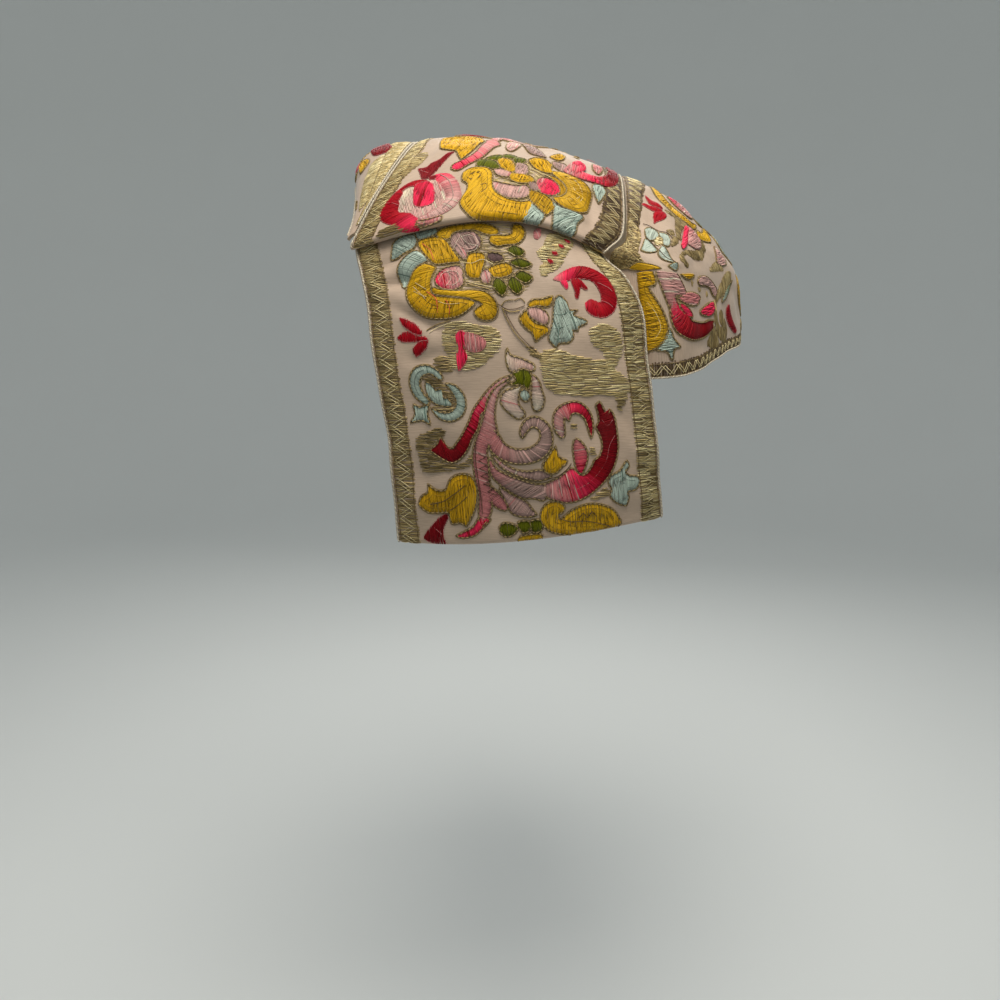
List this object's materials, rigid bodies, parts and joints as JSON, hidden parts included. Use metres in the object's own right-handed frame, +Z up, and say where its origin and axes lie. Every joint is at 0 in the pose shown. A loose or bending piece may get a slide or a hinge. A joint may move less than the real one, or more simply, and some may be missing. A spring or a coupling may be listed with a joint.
{
  "type": "brocade ribbon cap with side flaps",
  "caption": "Cap of wide embroidered brocade ribbon: a crown from ear to ear that folds into hanging side flaps, with a band round the back and a crescent along the front; worn on the head.",
  "frame": {"origin": "point where the top of the head meets the inner face of the crown, on the middle plane of the cap", "axes": "+Z up, -Y towards the wearer's face, +X towards the wearer's left"},
  "size_m": [0.153, 0.1415, 0.1312],
  "materials": {
    "brocade": "ribbed blush ecru silk ground with satin-stitch embroidery in crimson, pink, mustard, aqua and green, and gold thread borders"
  },
  "bodies": {
    "root": {"crown_ribbon": "brocade", "back_band": "brocade", "front_band": "brocade"}
  },
  "joints": []
}
